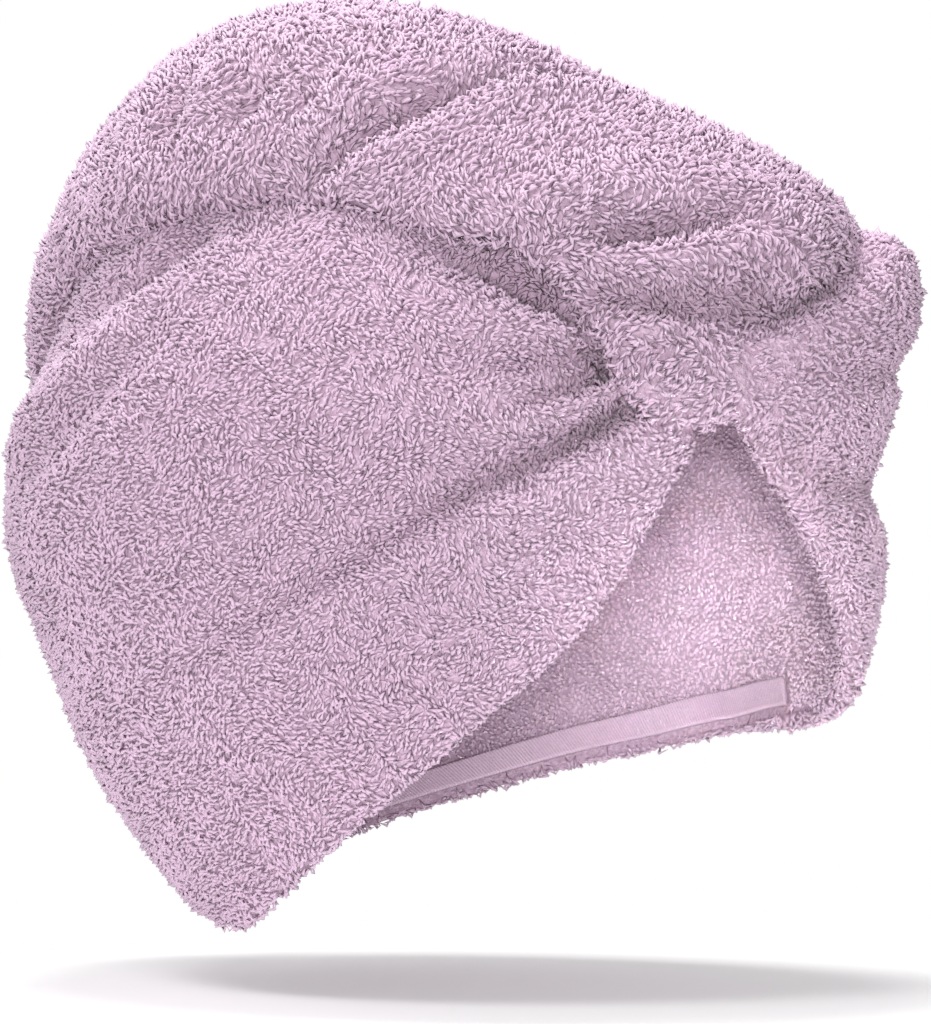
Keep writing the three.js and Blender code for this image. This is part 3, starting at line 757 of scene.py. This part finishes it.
def tail_grid(shares, around):
    """Points of the tail, rows along it and columns round it. A section is a lying egg whose
    height grows as a power of the way up, with its folds on top, and nothing goes below the
    hood that carries it."""
    turn, side, wide, high = (x[:, None] for x in tail_section(shares))
    a = 2 * np.pi * around[None]
    up = (1 + np.sin(a)) / 2
    across = side + wide * np.cos(a)
    folds = tail_folds(turn, across) * smooth(0, FOLDS_FROM, up)
    height = high * up**EGG_POWER - TAIL_BED + folds
    middle = overhead(turn)
    swing = (across / (dome_radius(middle) + height))[..., None]
    n = middle * np.cos(swing) + np.array([1.0, 0, 0]) * np.sin(swing)
    radius = dome_radius(n) + height
    # the button presses its tip down
    offset = n * radius[..., None]
    axis = overhead(np.array(float(BUTTON_TURN)))
    far = np.linalg.norm(offset - (offset @ axis)[..., None] * axis, axis=-1)
    lowest = hood_radius(n) - PILE_DEPTH + TAIL_CLEAR
    pressed = lowest + PILE_DEPTH + TIP_THICK - TIP_SINK
    under = (1 - smooth(*(BUTTON_RADIUS + edge for edge in PRESS_FADE), far)) * (turn > PRESS_TURN)
    radius = np.where(under > 0, np.minimum(radius, pressed + (1 - under) * PRESS_RISE), radius)
    return n * np.maximum(radius - PILE_DEPTH, lowest)[..., None] + head_middle


def turn_and_swing(points):
    """Turn over the crown and swing to the wearer's left of points, in degrees, and their
    distance from the middle of the head."""
    offset = points - head_middle
    radius = np.linalg.norm(offset, axis=1)
    turn = np.degrees(np.arctan2(offset[:, 2], -offset[:, 1])) % 360
    return turn, np.degrees(np.arcsin(offset[:, 0] / radius)), radius


def map_cells(points):
    """Rows and columns of points on a map of turn and swing, a cell to a degree."""
    turn, swing, _ = turn_and_swing(points)
    return turn.astype(int), (swing + 90).astype(int)


def tail_cover():
    """Cells of the map where the skin of the tail stands over the hood by more than COVER_HIGH,
    less a rim of COVER_RIM cells that the eye can reach from the side."""
    skin = tail_grid(np.linspace(0, 1, COVER_ROWS), np.linspace(0, 1, COVER_COLUMNS)).reshape(-1, 3)
    highest = np.zeros((360, 181))
    np.maximum.at(highest, map_cells(skin), turn_and_swing(skin)[2])
    middles = np.arange(360) + 0.5, np.arange(-90, 91) + 0.5
    turn, swing = np.radians(np.meshgrid(*middles, indexing="ij"))
    n = np.stack([np.sin(swing), -np.cos(swing) * np.cos(turn), np.cos(swing) * np.sin(turn)], -1)
    under = highest > hood_radius(n) + COVER_HIGH
    for axis in (0, 1):
        under = np.all([np.roll(under, k, axis) for k in range(-COVER_RIM, COVER_RIM + 1)], axis=0)
    return under


def tail_shade(points):
    """Painted shade of places of the tail, from its hollow folds and creases."""
    turn, swing, radius = turn_and_swing(points)
    return shade_of(tail_bells(np.stack([turn * SPREAD, np.radians(swing) * radius], -1)))


def band_start(side):
    """Share along the panel at which the hem band begins, at the front corner."""
    return (np.floor(HEM_STEPS * panel_layout(side)[2] ** (1 / CROWD)) / HEM_STEPS) ** CROWD


# The hood with its pile
# Each panel carries loops of pile outside, left out where the tail hides them, and the finer,
# shorter pile of the lining inside, which stops above the hem band.
LOOP_LENGTH, LOOP_RADIUS, LOOP_HEIGHT = 3.5 * MM, 0.52 * MM, 1.1 * MM
LOOPS_PER_AREA = 52e4
FINE_LENGTH, FINE_RADIUS, FINE_HEIGHT = 2.6 * MM, 0.5 * MM, 0.75 * MM
FINE_PER_AREA = 43e4
LEAN, SWIRL, FINE_SWIRL = 1.1, 0.03, 0.02   # how far the loops' drifts turn, and their size
BAND_FREE = 0.001               # between the hem band and the loops of the lining
BAND_HEIGHT, BAND_INSET, BAND_CLOTH = 0.010, 0.0015, 0.0014
HEM_STEPS = 36                  # the band starts at one of these even steps along the panel

under_tail = tail_cover()
# painted light: the lining's loops are the same yarn, coloured lighter than the outside's for the light
# that falls into the hood; their root colour is painted shade as outside
lining_pile = pile_material("terry_loops_fine", 0.35 * MM, crest=(0.87, 0.67, 0.82, 1),
                            dull=(0.79, 0.59, 0.74, 1), root=(0.5, 0.34, 0.46, 1))
for side in ("right", "left"):
    outer, rim, inner = panel_section(side)
    cloth = closed_cloth(f"hood_{side}_cloth", outer, rim, inner)
    cloth.data.materials.append(weave)
    cloth.data.materials.append(inner_weave)
    places = scatter(np.concatenate([outer[:, ::-1], rim], 1), LOOPS_PER_AREA, SEEDS["outer"])
    places = kept(places, ~under_tail[map_cells(places.at)])
    # painted shade on the loops in the panel's creases
    loops = pile(f"hood_{side}_loops", places, LOOP_LENGTH, LOOP_RADIUS, LOOP_HEIGHT, LEAN, SWIRL,
                 shade=panel_shade(side, places.at))
    loops.data.materials.append(outer_pile)
    places = scatter(inner, FINE_PER_AREA, SEEDS["lining"])
    places.up = -places.up
    u = places.row**CROWD
    height = places.column * across_length(side, u)
    places = kept(places, (u < band_start(side)) | (height > BAND_HEIGHT + BAND_FREE))
    lining = pile(f"hood_{side}_lining", places, FINE_LENGTH, FINE_RADIUS, FINE_HEIGHT, LEAN,
                  FINE_SWIRL)
    lining.data.materials.append(lining_pile)
    for piece in (cloth, loops, lining):
        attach(piece, "root")
    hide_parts(f"hood_{side}")


# The tail
# The long ends of both halves are twisted together at the forehead and laid back over the crown
# to the nape as one soft roll, flat side down, so that the twist shows as folds across it.
TAIL_RINGS, TAIL_SIDES = 190, 96
TAIL_TOP = np.linspace(-0.27, 0.77, 150)    # shares of the way round where loops can stand
TAIL_LOOPS, TAIL_LOOP_SIZE = 0.85, 1.3  # how many and how large loops are, next to the hood's
TAIL_LEAN, TAIL_SWIRL = 0.9, 0.034
LOOPS_FROM = -0.0008            # loops stand on what is higher than this over the hood


def capped_tube(name, grid):
    """A closed tube: rings of the grid, and a fan to the middle of each end."""
    rows, columns = grid.shape[:2]
    faces, pairs = quads(rows, columns, ring=True)
    points = np.concatenate([grid.reshape(-1, 3), grid[[0, -1]].mean(1)])
    k = np.arange(columns)
    following = (k + 1) % columns
    last = (rows - 1) * columns
    fans = np.concatenate([np.stack([0 * k + rows * columns, following, k], -1),
                           np.stack([0 * k + rows * columns + 1, last + k, last + following], -1)])
    faces, pairs = with_caps(faces, pairs, fans)
    faces, pairs = outwards(points - points.mean(0), faces, pairs)
    return mesh_of(name, points, faces, pairs)


shares = np.linspace(0, 1, TAIL_RINGS)
grid = tail_grid(shares, np.arange(TAIL_SIDES) / TAIL_SIDES)
tail = capped_tube("tail_roll", grid)
tail.data.materials.append(weave)
# loops stand on its top and sides, from just above the hood on one side to the other
places = scatter(tail_grid(shares, TAIL_TOP), LOOPS_PER_AREA * TAIL_LOOPS, SEEDS["tail"])
offset = places.at - head_middle
radius = np.linalg.norm(offset, axis=1)
places = kept(places, radius - hood_radius(offset / radius[:, None]) > LOOPS_FROM)
# painted shade on the loops in the tail's creases
tail_loops = pile("tail_loops", places, LOOP_LENGTH * TAIL_LOOP_SIZE, LOOP_RADIUS,
                  LOOP_HEIGHT * TAIL_LOOP_SIZE, TAIL_LEAN, TAIL_SWIRL, combed=np.pi / 2,
                  shade=tail_shade(places.at))
tail_loops.data.materials.append(outer_pile)
for piece in (tail, tail_loops):
    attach(piece, "root")
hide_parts("tail")


# The hem bands
# The neck edge is finished inside with a flat woven band about a finger wide. It has no pile,
# only close ribs across it; the lines of stitches near each edge that sew it on are not drawn.
BAND_GAP = 0.0004
BAND_ROWS, BAND_COLUMNS = 260, 14
RIB_PITCH = 0.9 * MM


def band_layer(side, depth):
    """Points of the band over the lining, and the metres along it."""
    start = band_start(side)
    u = start + (1 - start) * np.linspace(0, 1, BAND_ROWS)
    share = BAND_INSET + np.linspace(0, 1, BAND_COLUMNS) * (BAND_HEIGHT - BAND_INSET)
    v = share[None] / across_length(side, u)[:, None]
    points = level(side, u, v, -cloth_at(side, u, v) - depth)
    gone = np.linalg.norm(np.diff(points[:, 0], axis=0), axis=-1).cumsum()
    return points, np.concatenate([[0], gone])


def band_material():
    """Flat weave: lilac a little lighter than the pile, ribbed along the attribute rib."""
    material, shader, node, join = nodes_of("woven_band")
    rib = node("ShaderNodeAttribute", attribute_name="rib").outputs["Fac"]
    turn = node("ShaderNodeMath", {0: rib, 1: 2 * np.pi / RIB_PITCH}, operation="MULTIPLY")
    wave = node("ShaderNodeMath", {0: turn.outputs[0]}, operation="SINE")
    place = node("ShaderNodeTexCoord").outputs["Object"]
    fuzz = node("ShaderNodeTexNoise", {"Vector": place, "Scale": 1800, "Detail": 2})
    height = node("ShaderNodeMath", {0: wave.outputs[0], 1: 0.25, 2: fuzz.outputs["Fac"]},
                  operation="MULTIPLY_ADD")
    ramp = node("ShaderNodeMapRange", {"Value": height.outputs[0], "From Min": 0.1,
                                       "From Max": 0.9})
    # painted shade: the band's colour follows the height of its ribs and fuzz, darker where they lie
    # low
    colour = node("ShaderNodeMix", {"Factor": ramp.outputs[0], 6: (0.62, 0.45, 0.58, 1),
                                    7: (0.8, 0.61, 0.75, 1)}, data_type="RGBA")
    join(colour.outputs[2], shader.inputs["Base Color"])
    bump = node("ShaderNodeBump", {"Height": height.outputs[0], "Distance": 0.4 * MM, "Strength": 0.7})
    join(bump.outputs["Normal"], shader.inputs["Normal"])
    shader.inputs["Roughness"].default_value = 0.9
    shader.inputs["Sheen Weight"].default_value = 0.15
    return material


woven = band_material()
for side in ("right", "left"):
    near, gone = band_layer(side, BAND_GAP)
    far, _ = band_layer(side, BAND_GAP + BAND_CLOTH)
    band = closed_cloth(f"hem_band_{side}_weave", near, near[:, :0], far)
    rib = np.repeat(gone, len(band.data.vertices) // BAND_ROWS)
    add_attribute(band.data, "rib", rib)
    band.data.materials.append(woven)
    band.data.materials.append(woven)
    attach(band, "root")
    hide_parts(f"hem_band_{side}")


# The button
# A plain turned button at the nape holds the tip of the tail. It has a raised rim round a
# shallow dish, and stands on a shank that goes through the loop of the tip into the hood.
BUTTON_FACETS = 64
SHANK_RADIUS = 0.0035
BUTTON_LOW = TIP_THICK + 0.0008
RIM_LOW, RIM_BELLY, RIM_ROUND, DISH_EDGE, DISH_SLOPE, DISH_DEPTH = (
    0.0006, 0.0019, 0.0004, 0.0005, 0.0012, 0.0014)


def turned(name, profile, middle, axis):
    """A closed piece turned about an axis: rows of radius and height, a ring of points for
    each, and a fan at both poles."""
    profile = np.asarray(profile)
    turn = 2 * np.pi * np.arange(BUTTON_FACETS) / BUTTON_FACETS
    across = np.array([1.0, 0, 0])
    other = np.cross(axis, across)
    ring = across * np.cos(turn)[:, None] + other * np.sin(turn)[:, None]
    grid = middle + ring[None] * profile[:, 0, None, None] + axis * profile[:, 1, None, None]
    return capped_tube(name, grid)


def rounded(profile, steps=6):
    """A profile with its corners eased: each span's curve through the points."""
    return spline(profile, np.linspace(0, 1, steps * (len(profile) - 1) + 1))


axis = overhead(np.array(float(BUTTON_TURN)))
middle = axis * hood_radius(axis) + head_middle
low, high = BUTTON_LOW, BUTTON_LOW + BUTTON_THICK
shank = [(0.4 * SHANK_RADIUS, -CLOTH), (SHANK_RADIUS, -CLOTH), (SHANK_RADIUS, low)]
disc = [(0.72, low), (0.93, low + RIM_LOW), (1, low + RIM_BELLY), (0.95, high - RIM_ROUND),
        (0.86, high), (0.76, high - DISH_EDGE), (0.6, high - DISH_SLOPE),
        (0.3, high - DISH_DEPTH), (0.02, high - DISH_DEPTH)]
profile = shank + [(share * BUTTON_RADIUS, height) for share, height in disc]
button = turned("nape_button_turned", rounded(profile), middle, axis)
material, shader, node, join = nodes_of("button_plastic")
place = node("ShaderNodeTexCoord").outputs["Object"]
cloud = node("ShaderNodeTexNoise", {"Vector": place, "Scale": 160, "Detail": 4})
colour = node("ShaderNodeMix", {"Factor": cloud.outputs["Fac"], 6: (0.42, 0.28, 0.39, 1),
                                7: (0.52, 0.36, 0.49, 1)}, data_type="RGBA")
join(colour.outputs[2], shader.inputs["Base Color"])
scuffs = node("ShaderNodeTexNoise", {"Vector": place, "Scale": 900, "Detail": 3})
worn = node("ShaderNodeMapRange", {"Value": scuffs.outputs["Fac"], "To Min": 0.32, "To Max": 0.55})
join(worn.outputs[0], shader.inputs["Roughness"])
button.data.materials.append(material)
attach(button, "root")
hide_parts("nape_button")


# The light and the floor
# Soft white studio light from above and in front, and a plain pale floor under the turban in a
# white room. The floor lies level in the picture, so it leans against the head. It is small and
# shifted to its low side, so that it hides little of the turban in a level view.
FLOOR_DROP = 0.128              # under the middle of the head
FLOOR_TILT = np.radians(-2)     # how far it leans back from the camera's own level
FLOOR_SIZE, FLOOR_GLOW = 0.5, 0.3
FLOOR_SHIFT = 0.1               # to the right of the picture, where it lies low
ROOM_LIGHT, ROOM_WHITE = 0.42, 1    # light that the room gives, and how bright it looks
WHITE = (1, 1, 1, 1)


floor_up = view_up * np.cos(FLOOR_TILT) + view_back * np.sin(FLOOR_TILT)
bpy.ops.mesh.primitive_plane_add(size=FLOOR_SIZE)
floor = bpy.context.object
floor.name = "floor"
floor.data.transform(Vector(floor_up).to_track_quat("Z", "Y").to_matrix().to_4x4())
floor.data.transform(Matrix.Translation(Vector(head_middle - view_up * FLOOR_DROP
                                              + view_right * FLOOR_SHIFT)))
material, shader, node, join = nodes_of("floor_white")
shader.inputs["Base Color"].default_value = (0.9, 0.9, 0.9, 1)
shader.inputs["Roughness"].default_value = 1
shader.inputs["Emission Color"].default_value = WHITE
shader.inputs["Emission Strength"].default_value = FLOOR_GLOW
floor.data.materials.append(material)


def soft_light(name, place, size, power, at=(0, 0, 0), spread=np.pi):
    """A square area light that faces a place measured from the middle of the head."""
    light = bpy.data.objects.new(name, bpy.data.lights.new(name, "AREA"))
    bpy.context.scene.collection.objects.link(light)
    light.data.size, light.data.energy, light.data.spread = size, power, spread
    light.location = Vector(head_middle + place)
    light.rotation_mode = "QUATERNION"
    light.rotation_quaternion = Vector(place - np.array(at)).to_track_quat("Z", "Y")


lining_at = view_right * 0.075 - view_up * 0.03
soft_light("key", view_back * 0.9 + view_up * 1.4 - view_right * 0.6, size=0.5, power=12)
soft_light("front", view_back * 1.6 - view_right * 0.12 - view_up * 0.05, size=0.4, power=18.5)
soft_light("lining", view_back * 1.3 + lining_at, size=0.06, power=0.02, at=lining_at,
           spread=np.radians(5.5))
soft_light("top", floor_up * 0.9 - view_right * 0.05, size=0.35, power=7)
world = bpy.data.worlds.new("studio")
bpy.context.scene.world = world
world.use_nodes = True
room = world.node_tree.nodes["Background"]
room.inputs["Color"].default_value = WHITE
seen = world.node_tree.nodes.new("ShaderNodeLightPath")
strength = world.node_tree.nodes.new("ShaderNodeMapRange")
strength.inputs["To Min"].default_value = ROOM_LIGHT
strength.inputs["To Max"].default_value = ROOM_WHITE
world.node_tree.links.new(seen.outputs["Is Camera Ray"], strength.inputs["Value"])
world.node_tree.links.new(strength.outputs[0], room.inputs["Strength"])
bpy.context.scene.view_settings.view_transform = "Standard"
